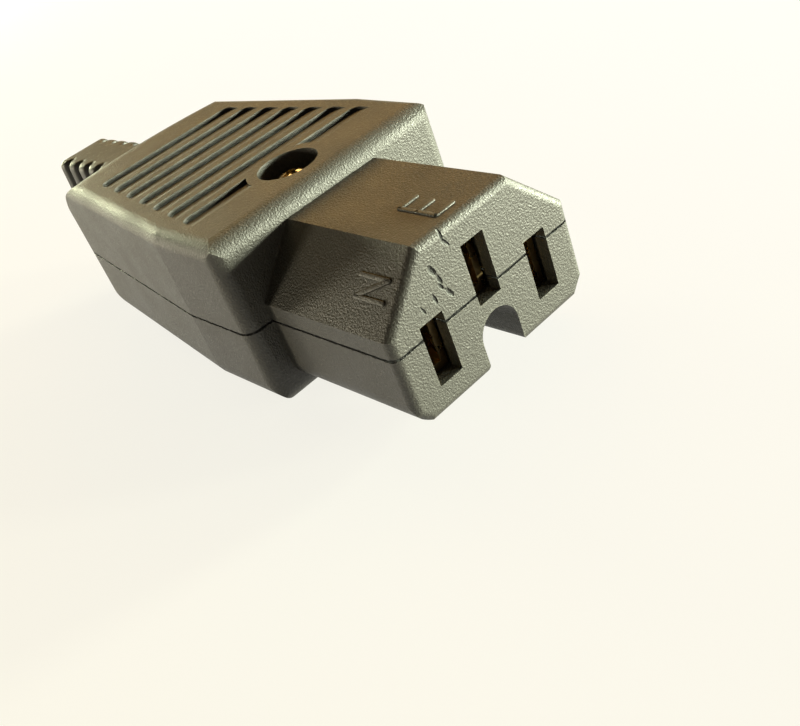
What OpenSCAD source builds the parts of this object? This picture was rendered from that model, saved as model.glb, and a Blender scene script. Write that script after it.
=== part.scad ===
// Rewireable appliance connector, hot-condition pattern: notched nose, two moulded half shells joined
// at a level seam by one screw, brass socket contacts with screw terminals, cord clamp and soft boot.
// Frame: X across the connector, Y from the nose (-Y) to the cord (+Y), Z up with the underside on
// Z = 0. Modules are drawn in the nose's own frame, with Y = 0 on its face and Z = 0 under it.

/* [Nose] */
// Width of the nose
nose_w = 24; // [23:0.1:26]
// Height of the nose
nose_h = 16; // [15.5:0.1:18]
// Length of the nose in front of the housing
nose_len = 18.5; // [16:0.1:22]
// Leg of the 45 degree cut on each upper corner
nose_chamfer = 6; // [5:0.1:7]
// Radius of the lower corners
nose_corner_r = 3; // [1:0.1:3.5]
// Rounding round the edge of the nose's face
nose_edge_r = 0.9; // [0.4:0.1:1.2]
// Width of the keying notch under the nose
notch_w = 4.9; // [4:0.1:5.4]
// Height of the keying notch
notch_h = 5.5; // [4.5:0.1:5.6]
// Rounding of the notch's two lower lips
notch_lip_r = 0.9; // [0.4:0.1:1.2]

/* [Sockets] */
// Distance between the line and neutral sockets
socket_pitch = 14; // [13.6:0.1:14.4]
// Height of the line and neutral sockets above the nose's underside
socket_z = 6; // [5.7:0.1:6.3]
// Height of the earth socket above the other two
earth_rise = 4; // [3.8:0.1:4.2]
// Width of each socket's mouth
slot_w = 2.9; // [2.4:0.1:3.2]
// Height of each socket's mouth
slot_h = 6.4; // [5.8:0.1:6.6]
// Thickness of the plastic in front of the contacts
face_t = 1.4; // [1:0.1:2]

/* [Housing] */
// Width of the housing at its front
body_w = 30; // [29:0.1:34]
// Length of the housing on its centre line
body_len = 43.4; // [40:0.1:46]
// Housing's top above the nose's top
body_rise = 2; // [1.5:0.1:3]
// Housing's underside below the nose's underside
body_drop = 1.5; // [1:0.1:2]
// Wall of the housing
wall = 2; // [1.6:0.1:2.2]
// Length of the straight front of the housing, before its sides taper
straight_len = 11; // [8:0.1:13]
// Angle of each tapered side
side_taper = 6.85; // [4:0.05:7.5]
// Rounding along the housing's upper long edges
side_edge_r = 1.6; // [0.5:0.1:1.8]
// Rounding along the housing's lower long edges
low_edge_r = 3.4; // [2:0.1:3.6]
// Rounding along the front's upper and lower edges
front_edge_r = 1.9; // [1:0.1:2.4]
// Rounding of the front's upright corners
front_corner_r = 1.5; // [0.8:0.1:2.4]
// Rounding along the rear's upper and lower edges
rear_edge_r = 7; // [5:0.1:7.4]
// Radius of the bowed rear end, seen from above
rear_bow_r = 58; // [40:0.5:90]
// Rounding of the rear's upright corners
rear_corner_r = 1.5; // [1:0.1:3]
// Thickness of the rear wall on the centre line
rear_wall = 4.3; // [4:0.1:5]
// Open seam between the two shells
seam = 0.16; // [0.06:0.02:0.24]

/* [Grip] */
// Number of grip scoops on each broad face
scoop_n = 7; // [3:1:7]
// Distance from one scoop to the next
scoop_pitch = 3.79; // [3.4:0.01:3.8]
// Step of the first scoop behind the housing's front
scoop_first = 9.2; // [9:0.1:10]
// Half length of the first scoop
scoop_half = 12.3; // [9:0.1:12.4]
// How much shorter each half is on the next scoop
scoop_step = 0.42; // [0.3:0.01:0.8]
// Depth of a scoop at its step
scoop_depth = 0.55; // [0.3:0.05:0.8]
// Length of a scoop's slope
scoop_run = 2.7; // [1.5:0.1:3]
// Rounding of a scoop's ends
scoop_end_r = 1.1; // [0.6:0.1:1.4]

/* [Housing screw] */
// Centre of the screw behind the housing's front
screw_back = 6.3; // [6:0.1:6.8]
// Thread size of the screw
screw_d = 3; // [2.6:0.1:3]
// Length of the screw under its head
screw_len = 14; // [13:0.5:14]
// Diameter of the screw's head
head_d = 5.6; // [5:0.1:6]
// Height of the screw's head
head_h = 2; // [1.6:0.1:2.2]
// Diameter of the recess round the head
recess_d = 6.7; // [6.4:0.1:7]
// Depth of the recess below the housing's top
recess_depth = 2.9; // [2.5:0.1:3.2]
// Width across flats of the nut
nut_af = 5.5; // [5:0.1:5.5]
// Thickness of the nut
nut_t = 2.4; // [1.8:0.1:2.6]

/* [Contacts] */
// Thickness of the contact's brass sheet
sheet_t = 0.8; // [0.6:0.05:0.9]
// Gap between a socket's two leaves
pin_gap = 1.9; // [1.7:0.05:1.9]
// Length of a socket's leaves
leaf_len = 14.3; // [12:0.1:15]
// Thickness of the steel spring round a socket
spring_t = 0.35; // [0.25:0.05:0.4]
// Length of the steel spring
spring_len = 6; // [4:0.1:8]
// Width of a terminal block
block_w = 5.2; // [4.8:0.1:5.4]
// Length of a terminal block
block_len = 7; // [6:0.1:7.4]
// Height of a terminal block
block_h = 6.6; // [6.2:0.1:7]
// Side of the square wire way through a terminal block
wire_way = 3; // [2.4:0.1:3.2]
// Distance from the housing's front to the line and neutral terminals
terminal_back = 11.3; // [11:0.1:12]
// Diameter of a terminal screw's head
terminal_head_d = 4.4; // [4:0.1:4.8]
// Height of a terminal screw's head
terminal_head_h = 1.5; // [1.2:0.1:1.8]

/* [Cord clamp] */
// Gap between the clamp bar and the rib that holds the boot
clamp_gap = 1; // [0.6:0.1:2]
// Gap between the ends of the clamp bar and the housing's side walls
clamp_end_gap = 1; // [0.7:0.1:1.4]
// Width of the clamp bar along the cord
clamp_len = 5; // [4.4:0.1:5.4]
// Thickness of the clamp bar
clamp_t = 2.5; // [2:0.1:3]
// Length of the clamp's screws under their heads
clamp_screw_len = 9; // [7:0.5:9]

/* [Boot] */
// Length of the boot outside the housing
boot_len = 17; // [16.4:0.1:22]
// Thickness of the boot across its grooved sides
boot_w = 7.8; // [7.6:0.1:9]
// Height of the boot at the housing
boot_root_h = 14.4; // [13:0.1:14.6]
// Height of the boot at its free end
boot_tip_h = 7.6; // [7.2:0.1:9]
// Radius of the boot's bore for the cord
cord_r = 2.6; // [2.2:0.05:2.65]
// Upward set of the flexible boot
boot_set = 10; // [0:1:12]
// Number of grooves on each side of the boot
groove_n = 5; // [3:1:5]
// Distance from the housing to the first boot groove
groove_first = 2; // [1.6:0.1:2.1]
// Distance from one boot groove to the next
groove_pitch = 3.1; // [2.8:0.05:3.1]
// Width of a boot groove
groove_w = 1.3; // [0.9:0.1:1.5]
// Depth of a boot groove
groove_depth = 1.05; // [0.6:0.05:1.1]
// Rounding of the boot's edges
boot_edge_r = 0.9; // [0.5:0.1:1.2]

/* [Fits] */
// Clearance round a piece that drops into its place
fit = 0.1; // [0.05:0.01:0.15]
// Radial clearance of a screw in the hole it turns in
thread_fit = 0.05; // [0.03:0.01:0.1]

/* [Hidden] */
$fn = 64;
eps = 0.01;
over = 1;                                   // how far a cutter runs past the face it opens
seam_z = nose_h / 2;                        // level of the seam
top_z = nose_h + body_rise;                 // housing's top
low_z = -body_drop;                         // housing's underside
body_h = top_z - low_z;
body_mid_z = (top_z + low_z) / 2;           // level of the cord
front_y = nose_len;                         // housing's front
rear_y = nose_len + body_len;               // housing's rear on the centre line
taper_y = front_y + straight_len;           // where the sides start to taper
roof_z = top_z - wall;                      // ceiling of the chamber
floor_z = low_z + wall;                     // floor of the chamber
back_y = rear_y - rear_wall;                // rear end of the chamber
socket_x = socket_pitch / 2;
earth_z = socket_z + earth_rise;
// Socket: outer size of the folded leaves, and the plastic channel they drop into
leaf_out = pin_gap + 2 * sheet_t;
leaf_h = slot_h + 0.2;
channel_w = leaf_out + 2 * spring_t + 2 * fit;
channel_h = leaf_h + spring_t + 3 * fit;
leaf_low = -leaf_h / 2 - fit;               // underside of the folded leaves below the socket's middle
leaf_y = face_t + 0.8;                      // front end of the leaves
// Screw and its bosses
screw_y = front_y + screw_back;
seat_z = top_z - recess_depth;              // under the screw's head
boss_wall = 1.7;
boss_d = screw_d + 2 * boss_wall;
cross_w = 0.7;                              // width of the cross recess
collar_d = recess_d + 2.4;
nut_seat_z = seat_z - screw_len + nut_t - fit;
strap_low = earth_z + leaf_low;             // underside of the earth strap
strap_top = strap_low + sheet_t;
// Terminals
terminal_y = front_y + terminal_back;
earth_terminal_y = terminal_y + 1.5;
// Clamp
clamp_z = body_mid_z + 0.7;                 // underside of the clamp bar and top of its posts
clamp_post_d = 5.4;
clamp_screw_r = 1.45;
pilot_z = clamp_z + clamp_t - clamp_screw_len - 1.5;   // bottom of the pilot holes
clamp_head_d = 5.2;
clamp_head_h = 1.8;
// Boot
flange_t = 1.8;
flange_rib_t = 2;
flange_lip = 1.3;                           // how far the flange stands out beside the collar
collar_w = boot_w + 0.6;                    // collar of the boot, through the rear wall
collar_h = boot_root_h + 0.4;
flange_w = collar_w + 2 * flange_lip;
flange_h = roof_z - floor_z - 3 * fit;
flange_y = back_y - fit - flange_t;
rib_y = flange_y - fit - flange_rib_t;      // front of the rib that holds the flange
clamp_y = rib_y - clamp_gap - clamp_len / 2;
clamp_half = chamber_half(clamp_y + clamp_len / 2) - clamp_end_gap;   // half the clamp bar
clamp_pitch = 2 * clamp_half - clamp_post_d;                          // between its screws
boot_root_y = rear_y + 0.1;
boot_seat = 2.6;                            // how far the body of the boot reaches into its collar
collar_y = boot_root_y - 0.9;               // rear end of the collar
boot_tip_half = boot_tip_h / 2 - boot_edge_r;
total_len = boot_root_y + (boot_len - boot_edge_r) * cos(boot_set) + boot_tip_half * sin(boot_set)
    + boot_edge_r;
black = [0.07, 0.07, 0.065];
rubber_black = [0.05, 0.05, 0.05];
brass = [0.78, 0.62, 0.30];
steel = [0.72, 0.72, 0.70];
nickel = [0.80, 0.74, 0.58];
clamp_grey = [0.16, 0.16, 0.16];

// Half the width of the chamber at a distance y from the nose's face
function chamber_half(y) = body_w / 2 - wall - max(0, y - taper_y) * tan(side_taper);

// Puts the nose's frame into the part's: middle of the length on Y = 0, underside on Z = 0
module place() {
    translate([0, -total_len / 2, body_drop]) children();
}

// Lays an X-Z profile along Y from y0 to y1
module along_y(y0, y1) {
    translate([0, y1, 0]) rotate([90, 0, 0]) linear_extrude(y1 - y0) children();
}

// Lays a Y-Z profile along X, centred
module along_x(w) {
    rotate([90, 0, 90]) linear_extrude(w, center = true) children();
}

// Rectangle from p to q with all four corners rounded
module round_rect(p, q, r) {
    for (x = [p.x + r, q.x - r]) for (y = [p.y + r, q.y - r]) translate([x, y]) circle(r);
    translate([p.x + r, p.y]) square([q.x - p.x - 2 * r, q.y - p.y]);
    translate([p.x, p.y + r]) square([q.x - p.x, q.y - p.y - 2 * r]);
}

// Housing's cross section, from x0 to x1: small rounding above, larger rounding below
module housing_section(x0, x1) {
    intersection() {
        round_rect([x0, low_z], [x1, top_z + body_h], low_edge_r);
        round_rect([x0, low_z - body_h], [x1, top_z], side_edge_r);
    }
}

module block(p, q) {
    translate(p) cube(q - p);
}

// ---- Outer form ----

// Nose's cross section: square shoulders cut at 45 degrees above, rounded corners below
module nose_section() {
    h = nose_w / 2;
    intersection() {
        round_rect([-h, 0], [h, 2 * nose_h], nose_corner_r);
        polygon([[-h, 0], [-h, nose_h - nose_chamfer], [-h + nose_chamfer, nose_h],
            [h - nose_chamfer, nose_h], [h, nose_h - nose_chamfer], [h, 0]]);
    }
}

// Rounds the edge of the nose's face: one slab for each pair of faces, rounded where it meets Y = 0
module nose_form() {
    reach = nose_len + wall + 2 * nose_edge_r;
    // distance of the upper cuts and of the lower corners from the frame's origin, at 45 degrees
    cut_reach = (nose_w / 2 + nose_h - nose_chamfer) / sqrt(2);
    corner_reach = (nose_w / 2 - 2 * nose_corner_r) / sqrt(2) + nose_corner_r + 0.1;
    intersection() {
        along_y(0, nose_len + wall) nose_section();
        along_x(nose_w + 2) round_rect([0, 0], [reach, nose_h], nose_edge_r);
        translate([0, 0, -over]) linear_extrude(nose_h + 2 * over)
            round_rect([-nose_w / 2, 0], [nose_w / 2, reach], nose_edge_r);
        intersection_for (side = [[-45, cut_reach], [45, cut_reach], [-135, corner_reach],
            [135, corner_reach]]) rotate([0, side[0], 0]) translate([0, 0, -2 * nose_w])
            along_x(4 * nose_w) round_rect([0, 0], [reach, 2 * nose_w + side[1]], nose_edge_r);
    }
}

// Keying notch under the nose: straight sides, round top, rounded lips
module notch() {
    r = notch_w / 2;
    along_y(-over, nose_len) {
        translate([-r, -over]) square([notch_w, notch_h - r + over]);
        translate([0, notch_h - r]) circle(r);
        for (s = [-1, 1]) difference() {
            translate([s * (r + notch_lip_r / 2 - eps / 2), (notch_lip_r - over) / 2])
                square([notch_lip_r + eps, notch_lip_r + over], center = true);
            translate([s * (r + notch_lip_r), notch_lip_r]) circle(notch_lip_r);
        }
    }
}

// Rounds one upright rear corner: what lies outside an arc that meets the side and the bowed rear
module rear_corner_cut() {
    side = [cos(side_taper), sin(side_taper)];
    along = [-sin(side_taper), cos(side_taper)];
    bow = [0, rear_y - rear_bow_r];
    out = [body_w / 2, taper_y] * side - rear_corner_r - bow * side;
    inner_r = rear_bow_r - rear_corner_r;
    centre = bow + out * side + sqrt(inner_r ^ 2 - out ^ 2) * along;
    on_side = centre + rear_corner_r * side;
    on_bow = bow + (centre - bow) * rear_bow_r / inner_r;
    reach = 3 * rear_corner_r;
    translate([0, 0, low_z - over]) linear_extrude(body_h + 2 * over) difference() {
        polygon([centre, on_side, on_side + reach * (side + along), on_bow + reach * along, on_bow]);
        translate(centre) circle(rear_corner_r);
    }
}

// Long bar whose cross section is the housing's, with its long edges rounded
module side_bar() {
    along_y(-body_len, 2 * body_len) housing_section(-2 * body_w, body_w / 2);
}

// Housing without its bowed rear: straight bar, tapered sides, rounded front
module housing_bar() {
    reach = 1.3 * body_len;
    intersection() {
        intersection() {
            along_y(front_y, rear_y + over) housing_section(-body_w / 2, body_w / 2);
            along_x(1.5 * body_w)
                round_rect([front_y, low_z], [front_y + reach, top_z], front_edge_r);
        }
        intersection_for (m = [0, 1]) mirror([m, 0, 0]) translate([body_w / 2, taper_y, 0])
            rotate([0, 0, side_taper]) translate([-body_w / 2, 0, 0]) side_bar();
        translate([0, 0, low_z - over]) linear_extrude(body_h + 2 * over)
            round_rect([-body_w / 2, front_y], [body_w / 2, front_y + reach], front_corner_r);
    }
}

// What lies behind the bowed rear, whose upper and lower edges are rounded
module rear_cut() {
    difference() {
        block([-body_w, rear_y - 2 * rear_edge_r, low_z - over],
            [body_w, rear_y + over, top_z + over]);
        translate([0, rear_y - rear_bow_r, 0]) rotate_extrude($fn = 128) intersection() {
            round_rect([-rear_bow_r, low_z], [rear_bow_r, top_z], rear_edge_r);
            translate([0, low_z]) square([rear_bow_r, body_h]);
        }
    }
}

module housing_form() {
    difference() {
        housing_bar();
        rear_cut();
        for (m = [0, 1]) mirror([m, 0, 0]) rear_corner_cut();
    }
}

// ---- Hollows ----

// Chamber for the terminals and the cord clamp, following the housing's outline
module chamber() {
    front_half = chamber_half(taper_y);
    inner_y = front_y + wall;
    rear_half = chamber_half(back_y);
    translate([0, 0, floor_z]) linear_extrude(roof_z - floor_z)
        polygon([[-front_half, inner_y], [front_half, inner_y], [front_half, taper_y],
            [rear_half, back_y], [-rear_half, back_y], [-front_half, taper_y]]);
}

// Mouth and channel of one socket
module socket_way(x, z) {
    block([x - slot_w / 2, -over, z - slot_h / 2], [x + slot_w / 2, face_t + over, z + slot_h / 2]);
    block([x - channel_w / 2, face_t, z + leaf_low - fit],
        [x + channel_w / 2, front_y + wall + over, z + leaf_low - fit + channel_h]);
}

module socket_ways() {
    for (s = [-1, 1]) socket_way(s * socket_x, socket_z);
    socket_way(0, earth_z);
}

// One grip scoop: upright step at its rear, sloping up to the surface in front
module scoop(i, shorter) {
    y = front_y + scoop_first + i * scoop_pitch;
    half = scoop_half - shorter - i * scoop_step;
    r = scoop_end_r;
    intersection() {
        along_x(2 * half + 2) polygon([[y, -scoop_depth], [y, over], [y - scoop_run, over],
            [y - scoop_run, 0]]);
        translate([0, 0, -over]) linear_extrude(2 * over)
            round_rect([-half, y - 2 * scoop_run], [half, y], r);
    }
}

module scoops(shorter) {
    for (i = [0 : scoop_n - 1]) scoop(i, shorter);
}

// Way out for the boot's collar through the rear wall
module boot_way() {
    block([-collar_w / 2 - fit, back_y - over, body_mid_z - collar_h / 2 - fit],
        [collar_w / 2 + fit, rear_y + over, body_mid_z + collar_h / 2 + fit]);
}

module cord_way(r, y0, y1) {
    translate([0, y1, body_mid_z]) rotate([90, 0, 0]) cylinder(r = r, h = y1 - y0);
}

// ---- Shells ----

module shell_form() {
    difference() {
        union() {
            nose_form();
            housing_form();
        }
        notch();
        chamber();
        socket_ways();
        boot_way();
    }
}

// Rib across the chamber that holds the boot's flange against the rear wall
module flange_rib(z0, z1) {
    half = chamber_half(back_y) + wall / 2;
    difference() {
        block([-half, rib_y, z0], [half, rib_y + flange_rib_t, z1]);
        cord_way(cord_r + 0.6, rib_y - over, rib_y + flange_rib_t + over);
    }
}

// Locating pegs of the lower shell, near the front corners of the chamber
module pegs(d, h) {
    for (s = [-1, 1]) translate([s * (body_w / 2 - wall - 1.7), screw_y, seam_z - over])
        cylinder(d = d, h = h + over);
}

peg_d = 2;
peg_h = 2.2;
peg_pad = 3.4;

module peg_pads(z0, z1) {
    for (s = [-1, 1]) block([s * (body_w / 2 - wall - 1.7) - peg_pad / 2, screw_y - peg_pad / 2, z0],
        [s * (body_w / 2 - wall - 1.7) + peg_pad / 2, screw_y + peg_pad / 2, z1]);
}

partition_x = block_w / 2 + 0.6;
partition_t = 1;

// Partitions between the live terminals and the earth terminal
module partitions(z0, z1) {
    y0 = screw_y + boss_d / 2 + 0.9;
    y1 = earth_terminal_y + block_len + 1;
    for (s = [-1, 1]) translate([s * (partition_x + partition_t / 2), (y0 + y1) / 2, (z0 + z1) / 2])
        cube([partition_t, y1 - y0, z1 - z0], center = true);
}

module lower_shell() {
    color(black) place() difference() {
        union() {
            difference() {
                intersection() {
                    shell_form();
                    block([-body_w, -over, low_z - over], [body_w, rear_y + over, seam_z - seam / 2]);
                }
                translate([0, 0, low_z]) mirror([0, 0, 1]) scoops(low_edge_r - side_edge_r);
            }
            translate([0, screw_y, low_z + eps]) cylinder(d = collar_d, h = nut_seat_z + 1.4 - low_z);
            translate([0, screw_y, floor_z - eps]) cylinder(d = boss_d, h = strap_low - floor_z + eps);
            peg_pads(floor_z - eps, seam_z);
            pegs(peg_d, peg_h);
            partitions(floor_z - eps, seam_z - seam / 2);
            flange_rib(floor_z - eps, seam_z - seam / 2);
            for (s = [-1, 1]) {
                translate([s * clamp_pitch / 2, clamp_y, floor_z - eps])
                    cylinder(d = clamp_post_d, h = clamp_z - floor_z + eps);
                block([s * socket_x - block_w / 2, terminal_y + 0.4, floor_z - eps],
                    [s * socket_x + block_w / 2, terminal_y + block_len - 0.4,
                        socket_z + leaf_low - fit]);
            }
            block([-block_w / 2, earth_terminal_y + 0.4, floor_z - eps],
                [block_w / 2, earth_terminal_y + block_len - 0.4, strap_low - fit]);
            // saddle under the cord, across the clamp's posts
            difference() {
                block([-clamp_pitch / 2, clamp_y - 1.2, floor_z - eps],
                    [clamp_pitch / 2, clamp_y + 1.2, seam_z - seam / 2 - 1]);
                cord_way(cord_r + 0.2, clamp_y - 2, clamp_y + 2);
            }
        }
        // clearance hole and nut pocket
        translate([0, screw_y, low_z - over]) cylinder(r = screw_d / 2 + 0.2, h = body_h);
        translate([0, screw_y, low_z - over])
            cylinder(d = (nut_af + fit) / cos(30), h = nut_seat_z - low_z + over, $fn = 6);
        // pilot holes of the clamp's posts
        for (s = [-1, 1]) translate([s * clamp_pitch / 2, clamp_y, pilot_z])
            cylinder(r = clamp_screw_r + thread_fit, h = body_h);
    }
}

module upper_shell() {
    color(black) place() difference() {
        union() {
            difference() {
                intersection() {
                    shell_form();
                    block([-body_w, -over, seam_z + seam / 2], [body_w, rear_y + over, top_z + over]);
                }
                translate([0, 0, top_z]) scoops(0);
            }
            translate([0, screw_y, seat_z - 1.6]) cylinder(d = collar_d, h = top_z - seat_z + 1.6 - eps);
            translate([0, screw_y, strap_top]) cylinder(d = boss_d, h = roof_z - strap_top + eps);
            peg_pads(seam_z, roof_z + eps);
            partitions(seam_z + seam / 2, roof_z + eps);
            flange_rib(seam_z + seam / 2, roof_z + eps);
            // hold-down ribs over the front of each terminal block
            for (s = [-1, 1]) block([s * socket_x - block_w / 2, terminal_y + 0.2,
                socket_z + leaf_low + block_h + fit], [s * socket_x + block_w / 2, terminal_y + 1.1,
                roof_z + eps]);
            block([-block_w / 2, earth_terminal_y + 0.2, earth_z + leaf_low + block_h + fit],
                [block_w / 2, earth_terminal_y + 1.1, roof_z + eps]);
        }
        // open the recess through the surface and the scoop beside it
        translate([0, screw_y, seat_z]) cylinder(d = recess_d, h = recess_depth + over);
        translate([0, screw_y, seam_z - 3]) cylinder(r = screw_d / 2 + 0.2, h = body_h);
        pegs(peg_d + 2 * fit, peg_h + 2 * fit);
    }
}

// ---- Housing screw and nut ----

// Pan head: low cylinder with a domed top and a cross recess
module pan_head(d, h, slot, dome_r) {
    difference() {
        intersection() {
            cylinder(d = d, h = h);
            translate([0, 0, h - dome_r]) sphere(dome_r, $fn = 96);
        }
        for (a = [0, 90]) rotate(a) translate([0, 0, h])
            cube([0.55 * d, slot, 1.1 * h], center = true);
    }
}

module housing_screw() {
    color(nickel) place() translate([0, screw_y, seat_z]) {
        pan_head(head_d, head_h, cross_w, 0.57 * head_d);
        translate([0, 0, -screw_len]) cylinder(d = screw_d, h = screw_len + eps);
    }
}

module housing_nut() {
    color(brass) place() translate([0, screw_y, nut_seat_z - nut_t]) difference() {
        cylinder(d = nut_af / cos(30), h = nut_t, $fn = 6);
        translate([0, 0, -over]) cylinder(r = screw_d / 2 + thread_fit, h = nut_t + 2 * over);
    }
}

// ---- Contacts ----

// Folded socket: a channel of sheet brass, open above, with its rear web running back to the terminal
module socket_leaves() {
    along_y(leaf_y, leaf_y + leaf_len) difference() {
        translate([-leaf_out / 2, leaf_low]) square([leaf_out, leaf_h]);
        translate([-pin_gap / 2, leaf_low + sheet_t]) square([pin_gap, leaf_h]);
    }
}

// Block of a terminal: square wire way along Y, tapped hole from above
module terminal_block(y) {
    difference() {
        block([-block_w / 2, y, leaf_low], [block_w / 2, y + block_len, leaf_low + block_h]);
        block([-wire_way / 2, y - over, leaf_low + 1.2],
            [wire_way / 2, y + block_len + over, leaf_low + 1.2 + wire_way]);
        translate([0, y + block_len / 2 + 0.5, leaf_low + 1.2 + wire_way / 2])
            cylinder(r = terminal_r + thread_fit, h = block_h);
    }
}

terminal_r = 1.25;

module live_contact(s) {
    color(brass) place() translate([s * socket_x, 0, socket_z]) {
        socket_leaves();
        block([-leaf_out / 2, leaf_y + leaf_len - eps, leaf_low],
            [leaf_out / 2, terminal_y + eps, leaf_low + sheet_t]);
        terminal_block(terminal_y);
    }
}

// The earth strap is widened to a ring that the housing screw clamps between the two bosses
module earth_contact() {
    color(brass) place() translate([0, 0, earth_z]) {
        socket_leaves();
        difference() {
            union() {
                block([-leaf_out / 2, leaf_y + leaf_len - eps, leaf_low],
                    [leaf_out / 2, earth_terminal_y + eps, leaf_low + sheet_t]);
                translate([0, screw_y, leaf_low]) cylinder(d = boss_d, h = sheet_t);
            }
            translate([0, screw_y, leaf_low - over]) cylinder(r = screw_d / 2 + 0.3, h = sheet_t + 2 * over);
        }
        terminal_block(earth_terminal_y);
    }
}

// Steel clip over a socket's leaves
module socket_spring(x, z) {
    w = leaf_out + 2 * spring_t;
    top = leaf_low + leaf_h + spring_t + fit;
    color(steel) place() translate([x, 0, z]) along_y(leaf_y + 2, leaf_y + 2 + spring_len) difference() {
        translate([-w / 2, leaf_low + 1]) square([w, top - leaf_low - 1]);
        translate([-leaf_out / 2 - fit / 4, leaf_low]) square([leaf_out + fit / 2, leaf_h + fit]);
    }
}

// Slotted cheese-head screw of a terminal, run down onto the wire guard
module terminal_screw(x, y, z) {
    tip = leaf_low + 1.2 + wire_way - 0.55;
    head = leaf_low + block_h + 0.5;
    color(nickel) place() translate([x, y + block_len / 2 + 0.5, z]) {
        translate([0, 0, tip]) cylinder(r = terminal_r, h = head - tip + eps);
        difference() {
            translate([0, 0, head]) cylinder(d = terminal_head_d, h = terminal_head_h);
            translate([0, 0, head + terminal_head_h])
                cube([terminal_head_d + 1, 0.8, terminal_head_h], center = true);
        }
    }
}

// Thin leaf between the terminal screw and the wire, hooked over the block's front
module wire_guard(x, y, z) {
    t = 0.3;
    w = wire_way - 0.4;
    top = leaf_low + 1.2 + wire_way - 0.6;
    color(steel) place() translate([x, 0, z]) {
        block([-w / 2, y - 0.4, top - t], [w / 2, y + block_len - 0.3, top]);
        block([-w / 2, y - 0.4, top - t], [w / 2, y - 0.1, leaf_low + block_h - 0.4]);
    }
}

// ---- Cord clamp ----

module cord_clamp() {
    color(clamp_grey) place() difference() {
        translate([0, clamp_y, clamp_z]) linear_extrude(clamp_t)
            round_rect([-clamp_half, -clamp_len / 2], [clamp_half, clamp_len / 2], 1.2);
        cord_way(cord_r + 0.2, clamp_y - clamp_len, clamp_y + clamp_len);
        for (s = [-1, 1]) translate([s * clamp_pitch / 2, clamp_y, clamp_z - over])
            cylinder(r = clamp_screw_r + 0.2, h = clamp_t + 2 * over);
    }
}

module cord_clamp_screw(s) {
    color(nickel) place() translate([s * clamp_pitch / 2, clamp_y, clamp_z + clamp_t]) {
        pan_head(clamp_head_d, clamp_head_h, cross_w, 0.65 * clamp_head_d);
        translate([0, 0, -clamp_screw_len]) cylinder(r = clamp_screw_r, h = clamp_screw_len + eps);
    }
}

// ---- Boot ----

// Groove across one side of the boot, round at the bottom and flared at its lips
module boot_groove(y) {
    r = groove_w / 2;
    lip = 0.35;
    x = boot_w / 2 - groove_depth;
    linear_extrude(2 * boot_root_h, center = true) {
        translate([x + r, y]) circle(r, $fn = 32);
        translate([x + r, y - r]) square([groove_depth + over, groove_w]);
        for (s = [-1, 1]) difference() {
            translate([boot_w / 2, y + s * (r + lip / 2 - eps / 2)])
                square([2 * lip, lip + eps], center = true);
            translate([boot_w / 2 - lip, y + s * (r + lip)]) circle(lip, $fn = 32);
        }
    }
}

// Body of the boot, from just inside the housing's rear wall: its height tapers, its edges are round
module boot_body() {
    r = boot_edge_r;
    root_half = boot_root_h / 2 - r;
    taper = atan((root_half - boot_tip_half) / (boot_len - r));
    intersection() {
        intersection_for (m = [0, 1]) mirror([0, 0, m]) translate([0, 0, root_half])
            rotate([-taper, 0, 0]) along_y(-boot_seat - over, 2 * boot_len)
            round_rect([-boot_w / 2, -2 * boot_root_h], [boot_w / 2, r], r);
        along_x(boot_w + 2) {
            translate([-boot_seat, -boot_root_h])
                square([boot_seat + boot_len - r + r * sin(taper), 2 * boot_root_h]);
            round_rect([0, -boot_tip_h / 2], [boot_len, boot_tip_h / 2], r);
        }
        linear_extrude(2 * boot_root_h, center = true)
            round_rect([-boot_w / 2, -boot_len], [boot_w / 2, boot_len], r);
    }
}

// Flange and collar, which sit in the housing
module boot_collar() {
    translate([0, flange_y + flange_t, body_mid_z]) rotate([90, 0, 0]) linear_extrude(flange_t)
        round_rect([-flange_w / 2, -flange_h / 2], [flange_w / 2, flange_h / 2], 1.5);
    translate([0, collar_y, body_mid_z]) rotate([90, 0, 0])
        linear_extrude(collar_y - flange_y - flange_t / 2)
        round_rect([-collar_w / 2, -collar_h / 2], [collar_w / 2, collar_h / 2], boot_edge_r);
}

module strain_relief_boot() {
    color(rubber_black) place() difference() {
        union() {
            boot_collar();
            translate([0, boot_root_y, body_mid_z]) rotate([boot_set, 0, 0]) difference() {
                boot_body();
                for (m = [0, 1]) mirror([m, 0, 0]) for (i = [0 : groove_n - 1])
                    boot_groove(groove_first + i * groove_pitch);
            }
        }
        // way for the cord, a little wider where it enters
        cord_way(cord_r + 0.3, flange_y - over, boot_root_y + 0.8);
        translate([0, boot_root_y, body_mid_z]) rotate([boot_set - 90, 0, 0])
            cylinder(r = cord_r, h = boot_len + over);
    }
}

upper_shell();
lower_shell();
housing_screw();
housing_nut();
strain_relief_boot();
live_contact(1);  // line_contact
live_contact(-1);  // neutral_contact
earth_contact();
socket_spring(socket_x, socket_z);  // line_spring
socket_spring(-socket_x, socket_z);  // neutral_spring
socket_spring(0, earth_z);  // earth_spring
terminal_screw(socket_x, terminal_y, socket_z);  // line_terminal_screw
terminal_screw(-socket_x, terminal_y, socket_z);  // neutral_terminal_screw
terminal_screw(0, earth_terminal_y, earth_z);  // earth_terminal_screw
wire_guard(socket_x, terminal_y, socket_z);  // line_wire_guard
wire_guard(-socket_x, terminal_y, socket_z);  // neutral_wire_guard
wire_guard(0, earth_terminal_y, earth_z);  // earth_wire_guard
cord_clamp();
cord_clamp_screw(-1);  // cord_clamp_screw_left
cord_clamp_screw(1);  // cord_clamp_screw_right
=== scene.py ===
import math

import bmesh
import bpy
from mathutils import Matrix, Vector


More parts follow.
